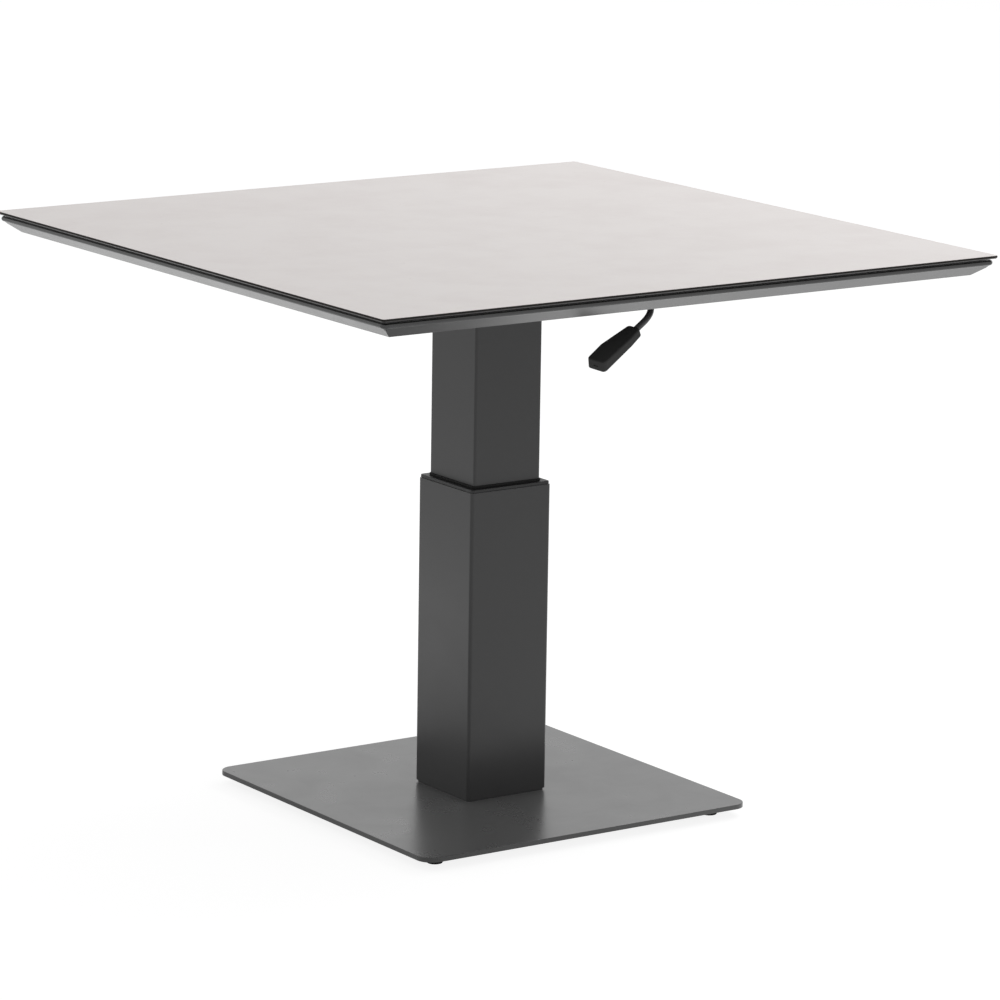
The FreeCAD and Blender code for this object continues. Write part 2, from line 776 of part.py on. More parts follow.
def cross_rail(side):
    """Flat rectangular tube from the front rail to the rear rail."""
    centre = side * cross_rail_offset
    half = cross_rail_width / 2
    wall = cross_rail_wall
    end_y = frame_inner_half
    floor_top = cross_rail_bottom + wall
    rail = block(centre - half, centre + half, -end_y, end_y, cross_rail_bottom, frame_top)
    tools = [block(centre - half + wall, centre + half - wall, -end_y, end_y, floor_top, frame_top - wall)]
    for end in (-1, 1):
        hole_diameter = flange_bolt_diameter + 2 * bolt_clearance
        tools.append(post(hole_diameter, cross_rail_bottom, floor_top, centre, end * flange_bolt_y))
        seat = Vector(side * cross_rail_side, end * (end_y - angle_screw_reach()),
                      frame_top - cross_rail_height / 2)
        hole = Part.makeCylinder(angle_screw_diameter / 2 + thread_clearance, wall)
        tools.append(placed(hole, seat, Vector(-side, 0, 0)))
    bracket_hole = bracket_screw_diameter + 2 * thread_clearance
    tools.append(post(bracket_hole, cross_rail_bottom, floor_top, centre, bracket_y))
    return cut_all(rail, tools)


def rail_angle(x_sign, y_sign):
    """Angle that fixes a cross rail's outer side to the frame's inner wall."""
    low = frame_top - cross_rail_height / 2 - angle_height / 2
    high = low + angle_height
    x_in = cross_rail_side
    y_out = frame_inner_half
    leg_frame = block(x_in, x_in + angle_leg, y_out - angle_thickness, y_out, low, high)
    leg_rail = block(x_in, x_in + angle_thickness, y_out - angle_leg, y_out, low, high)
    angle = leg_frame.fuse(leg_rail).removeSplitter()
    hole = Part.makeCylinder(angle_screw_diameter / 2 + thread_clearance, angle_thickness)
    middle = frame_top - cross_rail_height / 2
    reach = angle_screw_reach()
    angle = angle.cut(placed(hole, Vector(x_in + reach, y_out - angle_thickness, middle), Y_AXIS))
    angle = angle.cut(placed(hole, Vector(x_in, y_out - reach, middle), X_AXIS))
    if x_sign < 0:
        angle = angle.mirror(Vector(0, 0, 0), X_AXIS)
    if y_sign < 0:
        angle = angle.mirror(Vector(0, 0, 0), Y_AXIS)
    return angle


def angle_screws():
    """Two round-head screws in each angle, one into the frame and one into the cross rail."""
    screw = pan_screw(angle_screw_diameter, angle_thickness + frame_wall)
    reach = angle_screw_reach()
    height = frame_top - cross_rail_height / 2
    screws = []
    for x, y in CORNERS.values():
        to_frame = Vector(x * (cross_rail_side + reach), y * (frame_inner_half - angle_thickness), height)
        to_rail = Vector(x * (cross_rail_side + angle_thickness), y * (frame_inner_half - reach), height)
        screws.append(placed(screw, to_frame, Vector(0, y, 0)))
        screws.append(placed(screw, to_rail, Vector(-x, 0, 0)))
    return Part.makeCompound(screws)


# ---------------------------------------------------------------- release lever


def lever_bracket():
    """Strap bridging the cross rails, with a tab folded down for the lever's outer bush."""
    half_strap = cross_rail_side
    half_width = bracket_width / 2
    half_tab = bracket_tab_width / 2
    strap_bottom = cross_rail_bottom - bracket_thickness
    strap = block(-half_strap, half_strap, bracket_y - half_width, bracket_y + half_width,
                  strap_bottom, cross_rail_bottom)
    strap = strap.makeFillet(bracket_corner_radius, upright_edges(strap))
    tab = block(-half_tab, half_tab, bracket_tab_rear() - bracket_thickness, bracket_tab_rear(),
                lever_axis - bracket_tab_below, strap_bottom)
    low_corners = [edge for edge in tab.Edges
                   if abs(edge.BoundBox.ZMax - lever_axis + bracket_tab_below) < TOLERANCE
                   and edge.BoundBox.XLength < TOLERANCE]
    tab = tab.makeFillet(bracket_corner_radius, low_corners)
    bush_hole = bush_barrel_diameter + 2 * press_clearance
    tools = [bar_along_y(bush_hole, bracket_y - half_width, bracket_y + half_width, lever_axis)]
    screw_hole = bracket_screw_diameter + 2 * thread_clearance
    for x in (-cross_rail_offset, cross_rail_offset):
        tools.append(post(screw_hole, strap_bottom, cross_rail_bottom, x, bracket_y))
    return cut_all(strap.fuse(tab), tools)


def bracket_tab_rear():
    """Rear face of the bracket's folded tab."""
    return bracket_y + bracket_width / 2


def bracket_screws():
    """Two round-head screws from below into the cross rails."""
    screw = pan_screw(bracket_screw_diameter, bracket_thickness + cross_rail_wall)
    strap_bottom = cross_rail_bottom - bracket_thickness
    places = [Vector(side * cross_rail_offset, bracket_y, strap_bottom) for side in (-1, 1)]
    return Part.makeCompound([placed(screw, place, Z_AXIS) for place in places])


def lever_bush(face_y, outward, wall):
    """Flanged nylon bush: the flange on a wall's face, the barrel through the wall."""
    inner_end = -wall - bush_inside
    flange = post(bush_flange_diameter, 0, bush_flange_thickness)
    barrel = post(bush_barrel_diameter, inner_end, 0)
    bore = post(lever_diameter + 2 * running_clearance, inner_end, bush_flange_thickness)
    bush = flange.fuse(barrel).cut(bore)
    return placed(bush, Vector(0, face_y, lever_axis), Vector(0, outward, 0))


def at_rest(shape):
    """Lever piece made with its bend level, turned about the lever's axis to hang at rest."""
    return turned(shape, -lever_droop, Vector(0, 0, lever_axis), Y_AXIS)


def lever_rod():
    """Round rod: straight through the bushes, then one bend and a short neck into the grip."""
    section_centre = Vector(0, -lever_reach, lever_axis)
    straight = bar_along_y(lever_diameter, -lever_reach, lever_end_y, lever_axis)
    circle = Part.Circle(section_centre, Y_AXIS, lever_diameter / 2).toShape()
    section = Part.Face(Part.Wire([circle]))
    bend_centre = section_centre + Vector(-lever_bend_radius, 0, 0)
    bend = section.revolve(bend_centre, -Z_AXIS, lever_bend_angle)
    neck = placed(Part.makeCylinder(lever_diameter / 2, lever_neck_length + grip_socket_depth),
                  bend_end(), grip_direction())
    return at_rest(straight.fuse(bend).fuse(neck))


def grip_direction():
    """Direction of the grip with the bend level."""
    turn = math.radians(lever_bend_angle)
    return Vector(-math.sin(turn), -math.cos(turn), 0)


def bend_end():
    """Centre of the rod at the end of its bend, with the bend level."""
    turn = math.radians(lever_bend_angle)
    x = -lever_bend_radius * (1 - math.cos(turn))
    y = -lever_reach - lever_bend_radius * math.sin(turn)
    return Vector(x, y, lever_axis)


def lever_grip():
    """Moulded paddle on the rod: narrow neck, flare to one side, slanted end with a slot, rounded edges."""
    half_neck = grip_neck_width / 2
    rear_edge = half_neck + grip_flare_rear
    front_edge = half_neck + grip_flare_front
    low_end = grip_length + grip_end_slant
    # Outline seen from above: x along the grip, +y towards the front of the table.
    plan = [Vector(0, half_neck), Vector(grip_flare_front_length, front_edge), Vector(low_end, front_edge),
            Vector(low_end, grip_taper_rear - rear_edge), Vector(grip_flare_rear_length, -rear_edge),
            Vector(0, -half_neck)]
    body = polygon_prism(plan, Vector(0, 0, grip_end_thickness))
    body.translate(Vector(0, 0, -grip_end_thickness / 2))
    # Outline seen from the side: thicker towards a slanted end.
    side = [Vector(0, -rear_edge, grip_neck_thickness / 2),
            Vector(grip_length - grip_end_slant, -rear_edge, grip_end_thickness / 2),
            Vector(low_end, -rear_edge, -grip_end_thickness / 2),
            Vector(0, -rear_edge, -grip_neck_thickness / 2)]
    body = body.common(polygon_prism(side, Vector(0, rear_edge + front_edge, 0)))
    corners = [edge for edge in body.Edges
               if edge.Vertexes[0].Point.z * edge.Vertexes[-1].Point.z < 0]
    body = body.makeFillet(grip_corner_radius, corners)
    rims = [edge for edge in body.Edges
            if edge.BoundBox.ZMin > 0 or edge.BoundBox.ZMax < 0]
    body = body.makeFillet(grip_edge_radius, rims)
    bore = post(lever_diameter + 2 * running_clearance, 0, grip_socket_depth + press_clearance)
    body = body.cut(placed(bore, Vector(0, 0, 0), X_AXIS))
    slot_middle = (grip_flare_front - grip_flare_rear + grip_taper_rear) / 2
    slot = block(grip_length - grip_slot_depth, low_end,
                 slot_middle - grip_slot_width / 2, slot_middle + grip_slot_width / 2,
                 -grip_slot_height / 2, grip_slot_height / 2)
    body = turned(body.cut(slot), -grip_roll, Vector(0, 0, 0), X_AXIS)
    body = turned(body, 180 + 90 - lever_bend_angle)
    body.translate(bend_end() + grip_direction() * lever_neck_length)
    return at_rest(body)


def release_cam():
    """Round cam on the rod with a flat over the release button and a hole for its grub screw."""
    cam = bar_along_y(cam_diameter, -cam_length / 2, cam_length / 2, lever_axis)
    half = cam_length
    flat = block(-half, half, -half, half, lever_axis - cam_diameter, lever_axis - cam_flat)
    bore = bar_along_y(lever_diameter + 2 * running_clearance, -cam_length / 2, cam_length / 2, lever_axis)
    screw_hole = post(cam_screw_diameter + 2 * thread_clearance, lever_axis, lever_axis + cam_diameter / 2)
    return cut_all(cam, [flat, bore, screw_hole])


def cam_screw():
    """Grub screw that locks the cam on the rod."""
    low = lever_axis + lever_diameter / 2 + thread_clearance
    high = lever_axis + cam_diameter / 2 - screw_recess
    screw = post(cam_screw_diameter, low, high)
    return screw.cut(hex_bar(cam_screw_diameter / 2, (low + high) / 2, high))


def lever_clips():
    """Two push-on clips, outside and inside the rear wall, that hold the rod endwise."""
    outside = upper_tube_half + bush_flange_thickness + clip_clearance
    inside = upper_tube_half - tube_wall - bush_inside - clip_clearance - clip_thickness
    clips = []
    for y in (outside, inside):
        clip = bar_along_y(clip_diameter, y, y + clip_thickness, lever_axis)
        bore = bar_along_y(lever_diameter + 2 * running_clearance, y, y + clip_thickness, lever_axis)
        clips.append(clip.cut(bore))
    return Part.makeCompound(clips)


# ---------------------------------------------------------------- all pieces


def base_pieces():
    """Pieces that stand still on the floor."""
    pieces = {
        "base_plate": base_plate(),
        "column_foot_plate": column_foot_plate(),
        "column_screws": column_screws(),
        "lower_tube": lower_tube(),
        "guide_collar": guide_collar(),
        "collar_wiper": collar_wiper(),
        "gas_cylinder": gas_cylinder(),
        "gas_rod_guide": gas_rod_guide(),
        "gas_stud_washer": gas_stud_washer(),
        "gas_stud_nut": gas_stud_nut(),
    }
    for corner, (x, y) in CORNERS.items():
        pieces["glide_" + corner] = glide(x * glide_offset, y * glide_offset)
    return pieces


def upper_pieces():
    """Pieces that slide with the upper column."""
    pieces = {
        "upper_tube": upper_tube(),
        "slide_shoe": slide_shoe(),
        "shoe_screws": shoe_screws(),
        "piston_rod": piston_rod(),
        "gas_piston": gas_piston(),
        "piston_rod_nuts": piston_rod_nuts(),
        "release_bridge": release_bridge(),
        "bridge_screws": bridge_screws(),
        "top_plate": top_plate(),
        "flange_bolts": flange_bolts(),
        "rail_nuts": rail_nuts(),
        "cross_rail_left": cross_rail(-1),
        "cross_rail_right": cross_rail(1),
        "angle_screws": angle_screws(),
        "frame_tapes": frame_tapes(),
        "rail_tapes": rail_tapes(),
        "tabletop_panel": tabletop_panel(),
        "lever_bracket": lever_bracket(),
        "bracket_screws": bracket_screws(),
        "lever_bush_front": lever_bush(-upper_tube_half, -1, tube_wall),
        "lever_bush_rear": lever_bush(upper_tube_half, 1, tube_wall),
        "lever_bush_outer": lever_bush(bracket_tab_rear() - bracket_thickness, -1, bracket_thickness),
    }
    for side in SIDES:
        pieces["frame_rail_" + side] = frame_side(side)
    for corner, (x, y) in CORNERS.items():
        pieces["corner_key_" + corner] = corner_key(x, y)
        pieces["rail_angle_" + corner] = rail_angle(x, y)
    return pieces


def release_pieces():
    """Pieces that turn with the lever, and the valve pin that the cam presses."""
    return {
        "lever_rod": lever_rod(),
        "lever_grip": lever_grip(),
        "lever_clips": lever_clips(),
        "release_cam": release_cam(),
        "cam_screw": cam_screw(),
        "release_pin": release_pin(),
        "release_button": release_button(),
    }


os.makedirs("parts", exist_ok=True)
for make_pieces in (base_pieces, upper_pieces, release_pieces):
    for node, piece in make_pieces().items():
        piece.exportStep(os.path.join("parts", node + ".step"))
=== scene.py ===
import math

import bmesh
import bpy
from bpy.props import FloatProperty, FloatVectorProperty, PointerProperty
from mathutils import Matrix, Vector


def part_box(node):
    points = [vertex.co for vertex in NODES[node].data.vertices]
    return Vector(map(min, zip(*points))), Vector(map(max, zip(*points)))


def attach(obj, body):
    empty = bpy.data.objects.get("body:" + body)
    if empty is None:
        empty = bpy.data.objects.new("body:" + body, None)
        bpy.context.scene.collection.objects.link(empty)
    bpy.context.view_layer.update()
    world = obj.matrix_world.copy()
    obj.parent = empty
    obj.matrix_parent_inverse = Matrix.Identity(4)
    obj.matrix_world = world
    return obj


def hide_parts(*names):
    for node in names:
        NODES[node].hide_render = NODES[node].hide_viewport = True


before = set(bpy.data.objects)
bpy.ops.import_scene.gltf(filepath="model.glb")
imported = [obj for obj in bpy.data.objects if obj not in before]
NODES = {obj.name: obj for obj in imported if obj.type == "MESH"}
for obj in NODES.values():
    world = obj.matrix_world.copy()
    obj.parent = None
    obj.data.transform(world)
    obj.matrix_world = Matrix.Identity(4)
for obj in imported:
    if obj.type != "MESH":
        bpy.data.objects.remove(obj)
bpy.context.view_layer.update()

bl_info = {
    "name": "Telescoping pedestal table",
    "version": (1, 0, 0),
    "blender": (4, 5, 0),
    "location": "View3D > Sidebar > Pedestal table",
    "description": "Dresses the packed table: laminate top, finishes, weld bead, studio and camera",
    "category": "Object",
}

MM = 0.001

# ---------------------------------------------------------------- what the frame says

PANEL_LOW, PANEL_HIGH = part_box("tabletop_panel")
UPPER_TUBE_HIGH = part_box("upper_tube")[1]

# Ends of the names of like pieces, one at each corner or along each side.
CORNERS = ("front_left", "front_right", "rear_left", "rear_right")
SIDES = ("front", "right", "rear", "left")

# ---------------------------------------------------------------- fixed shapes

# Corner radii and edge chamfers of the pieces that are built over the frame.
PANEL_CORNER_RADIUS = 4 * MM
PANEL_UPPER_CHAMFER = 0.6 * MM
PANEL_LOWER_CHAMFER = 1.5 * MM
UPPER_TUBE_CORNER_RADIUS = 3 * MM

# Section of the weld bead, in shares of its leg outwards and downwards from the joint.
WELD_SECTION = ((0, 0), (1, 0), (0.72, 0.42), (0.42, 0.72), (0, 1))
# Share by which the leg swells and shrinks along a ripple, and the sections that draw each ripple.
WELD_SWELL = 0.07
WELD_SECTIONS_PER_RIPPLE = 4

# Faces that meet at more than this angle keep a sharp edge.
SHARP_EDGE = math.radians(40)


def linear(hex_colour):
    """sRGB hex colour as linear red, green and blue."""
    channels = [int(hex_colour[start:start + 2], 16) / 255 for start in (1, 3, 5)]
    return tuple(c / 12.92 if c <= 0.04045 else ((c + 0.055) / 1.055) ** 2.4 for c in channels)


# ---------------------------------------------------------------- settings


def length(name, description, default):
    """Length property in metres."""
    return FloatProperty(name=name, description=description, default=default, min=0.0, unit="LENGTH",
                         subtype="DISTANCE", precision=5)


def colour(name, description, hex_colour):
    """Colour property."""
    return FloatVectorProperty(name=name, description=description, default=linear(hex_colour), min=0.0,
                               max=1.0, size=3, subtype="COLOR")


class TableSizes(bpy.types.PropertyGroup):
    """Sizes of the pieces that are built over the frame."""

    decor_thickness: length("Decor thickness", "Decor sheet pressed on the core of the top", 0.2 * MM)
    edge_rounding: length("Edge rounding", "Hand-broken edges of the top's chamfers", 0.12 * MM)
    weld_leg: length("Weld leg", "Leg of the fillet weld under the top plate", 2.4 * MM)
    weld_ripple: length("Weld ripple", "Distance between the ripples of the weld", 1.8 * MM)


class TableColours(bpy.types.PropertyGroup):
    """Colours of the table's finishes."""

    decor: colour("Decor", "Pale concrete decor of the top", "#E1DCDA")
    decor_cloud: colour("Decor clouds", "Darker clouds in the decor", "#DCD6D4")
    decor_pore: colour("Decor pores", "Small printed pores in the decor", "#BAB2AE")
    core: colour("Core", "Phenolic core at the top's edge", "#151413")
    coat: colour("Powder coat", "Anthracite coat of column, base and frame", "#19191A")
    grip: colour("Grip", "Charcoal nylon of the lever's grip", "#444444")
    glides: colour("Glides", "Black nylon of glides, shoe and bushes", "#080808")
    collar: colour("Collar", "Anthracite nylon of the guide collar", "#2A2A2B")
    zinc: colour("Zinc plate", "Bright zinc of screws, nuts and brackets", "#C3C6CA")


class StudioSettings(bpy.types.PropertyGroup):
    """Camera and light."""

    lens: FloatProperty(name="Lens", description="Focal length on a 36 mm sensor", default=179.15,
                        min=1.0, unit="CAMERA")
    softbox_power: FloatProperty(name="Softbox", description="Power of the softbox above the table",
                                 default=40.0, min=0.0, unit="POWER")
    room_light: FloatProperty(name="Room light", description="Even light from the pale room",
                              default=0.55, min=0.0)


# ---------------------------------------------------------------- material helpers


def add(tree, kind, inputs=None, **settings):
    """Adds a node: settings are its properties, inputs its sockets' values or the outputs linked to them."""
    node = tree.nodes.new(kind)
    for name, value in settings.items():
        setattr(node, name, value)
    for name, value in (inputs or {}).items():
        if isinstance(value, bpy.types.NodeSocket):
            tree.links.new(value, node.inputs[name])
        else:
            node.inputs[name].default_value = value
    return node


def surface(name, base, **inputs):
    """New material with one principled shader; returns the material, its nodes and the shader."""
    material = bpy.data.materials.new(name)
    material.use_nodes = True
    tree = material.node_tree
    tree.nodes.clear()
    shader = add(tree, "ShaderNodeBsdfPrincipled", {"Base Color": (*base, 1.0)})
    for socket, value in inputs.items():
        shader.inputs[socket.replace("_", " ")].default_value = value
    add(tree, "ShaderNodeOutputMaterial", {"Surface": shader.outputs["BSDF"]})
    return material, tree, shader


def dress(material, *nodes):
    """Gives CAD nodes a material."""
    for node in nodes:
        materials = NODES[node].data.materials
        materials.clear()
        materials.append(material)


def each(name, places):
    """Names of like pieces: one name with the end for each place."""
    return [name + "_" + place for place in places]


# ---------------------------------------------------------------- finishes


def powder_coat(name, base, roughness, index, sheen):
    """Anthracite polyester powder, sprayed dry and baked: satin, faintly grained, never quite even.

    Seen along the surface it lightens twice over: its skin mirrors more there, by its index, and its grain
    and the dust on it add a pale bloom, the sheen. A smoother, thicker film mirrors more.
    """
    material, tree, shader = surface(name, base, Roughness=roughness, IOR=index, Sheen_Weight=sheen,
                                     Sheen_Roughness=0.4)
    place = add(tree, "ShaderNodeTexCoord").outputs["Object"]
    # The baked skin has a 0.5 mm grain; it is drawn 2 mm wide so that it shows at all.
    grain = add(tree, "ShaderNodeTexNoise", {"Vector": place, "Scale": 1 / (2 * MM), "Detail": 2.0})
    skin = add(tree, "ShaderNodeBump", {"Height": grain.outputs["Fac"], "Strength": 0.04,
                                        "Distance": 0.05 * MM})
    # Film thickness and handling cloud the gloss over a hand's width.
    clouds = add(tree, "ShaderNodeTexNoise", {"Vector": place, "Scale": 1 / (70 * MM), "Detail": 4.0,
                                              "Roughness": 0.6, "Distortion": 0.4})
    spread = 0.03
    gloss = add(tree, "ShaderNodeMapRange", {"Value": clouds.outputs["Fac"], "From Min": 0.3, "From Max": 0.7,
                                             "To Min": roughness - spread, "To Max": roughness + spread})
    tree.links.new(gloss.outputs["Result"], shader.inputs["Roughness"])
    tree.links.new(skin.outputs["Normal"], shader.inputs["Normal"])
    return material


def moulded_nylon(name, base, roughness, specular):
    """Glass-filled nylon, injection moulded against a spark-eroded tool: dull, with an even fine grain.

    The coarser the grain, the more of the shine its pits swallow, so specular falls as roughness rises.
    """
    material, tree, shader = surface(name, base, Roughness=roughness, IOR=1.53,
                                     Specular_IOR_Level=specular)
    place = add(tree, "ShaderNodeTexCoord").outputs["Object"]
    # Spark-eroded grain of 0.3 mm, drawn 0.8 mm wide.
    grain = add(tree, "ShaderNodeTexNoise", {"Vector": place, "Scale": 1 / (0.8 * MM), "Detail": 3.0})
    skin = add(tree, "ShaderNodeBump", {"Height": grain.outputs["Fac"], "Strength": 0.25,
                                        "Distance": 0.04 * MM})
    tree.links.new(skin.outputs["Normal"], shader.inputs["Normal"])
    return material


def zinc_plate(base):
    """Steel, barrel-plated with bright zinc and passivated: silvery with faint darker clouds."""
    material, tree, shader = surface("zinc_plated_steel", base, Roughness=0.32, Metallic=1.0)
    place = add(tree, "ShaderNodeTexCoord").outputs["Object"]
    clouds = add(tree, "ShaderNodeTexNoise", {"Vector": place, "Scale": 1 / (6 * MM), "Detail": 3.0})
    tone = add(tree, "ShaderNodeMix", {"Factor": clouds.outputs["Fac"], "A": (*base, 1.0),
                                       "B": (*linear("#A4A8B0"), 1.0)}, data_type="RGBA")
    wear = add(tree, "ShaderNodeMapRange", {"Value": clouds.outputs["Fac"], "To Min": 0.24, "To Max": 0.42})
    tree.links.new(tone.outputs["Result"], shader.inputs["Base Color"])
    tree.links.new(wear.outputs["Result"], shader.inputs["Roughness"])
    return material


def mill_aluminium():
    """Extruded aluminium, sawn and left bare: pale grey with fine die lines."""
    base = linear("#C9CACC")
    material, tree, shader = surface("mill_finish_aluminium", base, Roughness=0.42, Metallic=1.0)
    place = add(tree, "ShaderNodeTexCoord").outputs["Object"]
    stretch = add(tree, "ShaderNodeMapping", {"Vector": place, "Scale": (1, 1, 0.02)})
    lines = add(tree, "ShaderNodeTexNoise", {"Vector": stretch.outputs["Vector"], "Scale": 1 / (0.4 * MM)})
    skin = add(tree, "ShaderNodeBump", {"Height": lines.outputs["Fac"], "Strength": 0.2,
                                        "Distance": 0.02 * MM})
    tree.links.new(skin.outputs["Normal"], shader.inputs["Normal"])
    return material


def black_lacquer():
    """Steel tube, dipped in black lacquer: glossy, with a slow ripple where the film ran."""
    material, tree, shader = surface("black_lacquered_steel", linear("#0F0F10"), Roughness=0.14, IOR=1.5)
    place = add(tree, "ShaderNodeTexCoord").outputs["Object"]
    runs = add(tree, "ShaderNodeTexNoise", {"Vector": place, "Scale": 1 / (9 * MM), "Detail": 1.0})
    skin = add(tree, "ShaderNodeBump", {"Height": runs.outputs["Fac"], "Strength": 0.1,
                                        "Distance": 0.1 * MM})
    tree.links.new(skin.outputs["Normal"], shader.inputs["Normal"])
    return material


def hard_chrome():
    """Steel rod, hard-chromed and ground: mirror bright with faint grinding rings."""
    material, tree, shader = surface("hard_chromed_steel", linear("#C5C7CA"), Roughness=0.09, Metallic=1.0)
    place = add(tree, "ShaderNodeTexCoord").outputs["Object"]
    stretch = add(tree, "ShaderNodeMapping", {"Vector": place, "Scale": (0.05, 0.05, 1)})
    rings = add(tree, "ShaderNodeTexNoise", {"Vector": stretch.outputs["Vector"], "Scale": 1 / (0.5 * MM)})
    polish = add(tree, "ShaderNodeMapRange", {"Value": rings.outputs["Fac"], "To Min": 0.06, "To Max": 0.14})
    tree.links.new(polish.outputs["Result"], shader.inputs["Roughness"])
    return material


def black_zinc():
    """Steel, zinc-plated and passivated black: deep grey with a soft oily sheen."""
    material, tree, shader = surface("black_passivated_steel", linear("#545455"), Roughness=0.36, IOR=1.5)
    place = add(tree, "ShaderNodeTexCoord").outputs["Object"]
    clouds = add(tree, "ShaderNodeTexNoise", {"Vector": place, "Scale": 1 / (5 * MM), "Detail": 3.0})
    sheen = add(tree, "ShaderNodeMapRange", {"Value": clouds.outputs["Fac"], "To Min": 0.3, "To Max": 0.44})
    tree.links.new(sheen.outputs["Result"], shader.inputs["Roughness"])
    return material


def nitrile_rubber():
    """Nitrile rubber, moulded: matt black with a dusty bloom."""
    material, tree, shader = surface("moulded_nitrile_rubber", linear("#101010"), Roughness=0.72, IOR=1.52)
    place = add(tree, "ShaderNodeTexCoord").outputs["Object"]
    bloom = add(tree, "ShaderNodeTexNoise", {"Vector": place, "Scale": 1 / (4 * MM), "Detail": 4.0})
    dust = add(tree, "ShaderNodeMapRange", {"Value": bloom.outputs["Fac"], "To Min": 0.6, "To Max": 0.82})
    tree.links.new(dust.outputs["Result"], shader.inputs["Roughness"])
    return material


def foam_tape():
    """Closed-cell polyethylene foam, cut to a strip: dead black, pitted by its cells."""
    material, tree, shader = surface("cut_polyethylene_foam", linear("#0D0D0D"), Roughness=0.9, IOR=1.5)
    place = add(tree, "ShaderNodeTexCoord").outputs["Object"]
    cells = add(tree, "ShaderNodeTexVoronoi", {"Vector": place, "Scale": 1 / (0.7 * MM)})
    skin = add(tree, "ShaderNodeBump", {"Height": cells.outputs["Distance"], "Strength": 0.6,
                                        "Distance": 0.15 * MM})
    tree.links.new(skin.outputs["Normal"], shader.inputs["Normal"])
    return material


def decor_laminate(colours):
    """Printed decor paper in melamine resin, pressed against a matt plate: dull, pale, softly clouded."""
    base = tuple(colours.decor)
    material, tree, shader = surface("matt_melamine_decor", base, Roughness=0.5, IOR=1.4)
    place = add(tree, "ShaderNodeTexCoord").outputs["Object"]
    # Trowelled clouds, a thumb to a hand wide.
    clouds = add(tree, "ShaderNodeTexNoise", {"Vector": place, "Scale": 1 / (90 * MM), "Detail": 5.0,
                                              "Roughness": 0.65})
    depth = add(tree, "ShaderNodeMapRange", {"Value": clouds.outputs["Fac"], "From Min": 0.42,
                                             "From Max": 0.72})
    ground = add(tree, "ShaderNodeMix", {"Factor": depth.outputs["Result"], "A": (*base, 1.0),
                                         "B": (*colours.decor_cloud, 1.0)}, data_type="RGBA")
    # Pores of 3 to 6 mm, a few centimetres apart.
    pores = add(tree, "ShaderNodeTexNoise", {"Vector": place, "Scale": 1 / (12 * MM), "Detail": 4.0,
                                             "Roughness": 0.7})
    pits = add(tree, "ShaderNodeMapRange", {"Value": pores.outputs["Fac"], "From Min": 0.66, "From Max": 0.76,
                                            "To Max": 0.45})
    print_tone = add(tree, "ShaderNodeMix", {"Factor": pits.outputs["Result"], "A": ground.outputs["Result"],
                                             "B": (*colours.decor_pore, 1.0)}, data_type="RGBA")
    # The matt plate's own grain, 0.4 mm, drawn 1.2 mm wide.
    grain = add(tree, "ShaderNodeTexNoise", {"Vector": place, "Scale": 1 / (1.2 * MM), "Detail": 2.0})
    skin = add(tree, "ShaderNodeBump", {"Height": grain.outputs["Fac"], "Strength": 0.1,
                                        "Distance": 0.03 * MM})
    tree.links.new(print_tone.outputs["Result"], shader.inputs["Base Color"])
    tree.links.new(skin.outputs["Normal"], shader.inputs["Normal"])
    return material


def phenolic_core(name, colours, roughness, specular):
    """Kraft paper in phenolic resin, pressed solid and cut at the edge: black with fine layers.

    Milling leaves the edge dull; burnishing with a chamfer tool closes it to a soft shine.
    """
    base = tuple(colours.core)
    material, tree, shader = surface(name, base, Roughness=roughness, IOR=1.55,
                                     Specular_IOR_Level=specular)
    place = add(tree, "ShaderNodeTexCoord").outputs["Object"]
    # Sheets of 0.25 mm kraft, seen as layers 0.5 mm apart.
    stretch = add(tree, "ShaderNodeMapping", {"Vector": place, "Scale": (0.01, 0.01, 1)})
    layers = add(tree, "ShaderNodeTexNoise", {"Vector": stretch.outputs["Vector"], "Scale": 1 / (0.5 * MM)})
    tone = add(tree, "ShaderNodeMix", {"Factor": layers.outputs["Fac"], "A": (*base, 1.0),
                                       "B": (*linear("#241F1C"), 1.0)}, data_type="RGBA")
    tree.links.new(tone.outputs["Result"], shader.inputs["Base Color"])
    return material


# ---------------------------------------------------------------- mesh helpers


def rounded_square(half, radius, z, steps=8):
    """Corner points of a square with rounded corners, anticlockwise, at one level."""
    points = []
    for quarter in range(4):
        centre_angle = math.radians(45 + 90 * quarter)
        centre = Vector((math.cos(centre_angle), math.sin(centre_angle))) * (half - radius) * math.sqrt(2)
        for step in range(steps + 1):
            turn = math.radians(90 * quarter + 90 * step / steps)
            points.append(Vector((centre.x + radius * math.cos(turn),
                                  centre.y + radius * math.sin(turn), z)))
    return points


def new_object(name, mesh_builder, material):
    """Object from a bmesh, with smooth shading that keeps real edges sharp."""
    mesh = bpy.data.meshes.new(name)
    bmesh.ops.recalc_face_normals(mesh_builder, faces=mesh_builder.faces)
    mesh_builder.to_mesh(mesh)
    mesh_builder.free()
    made = bpy.data.objects.new(name, mesh)
    bpy.context.collection.objects.link(made)
    mesh.materials.append(material)
    mesh.shade_smooth()
    mesh.set_sharp_from_angle(angle=SHARP_EDGE)
    return made


def stacked_rings(rings, closed_ends=True):
    """Skin through rings of equal point counts, with flat ends or joined round."""
    builder = bmesh.new()
    loops = [[builder.verts.new(point) for point in ring] for ring in rings]
    pairs = list(zip(loops, loops[1:]))
    if not closed_ends:
        pairs.append((loops[-1], loops[0]))
    for low, high in pairs:
        count = len(low)
        for index in range(count):
            after = (index + 1) % count
            builder.faces.new((low[index], low[after], high[after], high[index]))
    if closed_ends:
        builder.faces.new(reversed(loops[0]))
        builder.faces.new(loops[-1])
    return builder


# ---------------------------------------------------------------- operators


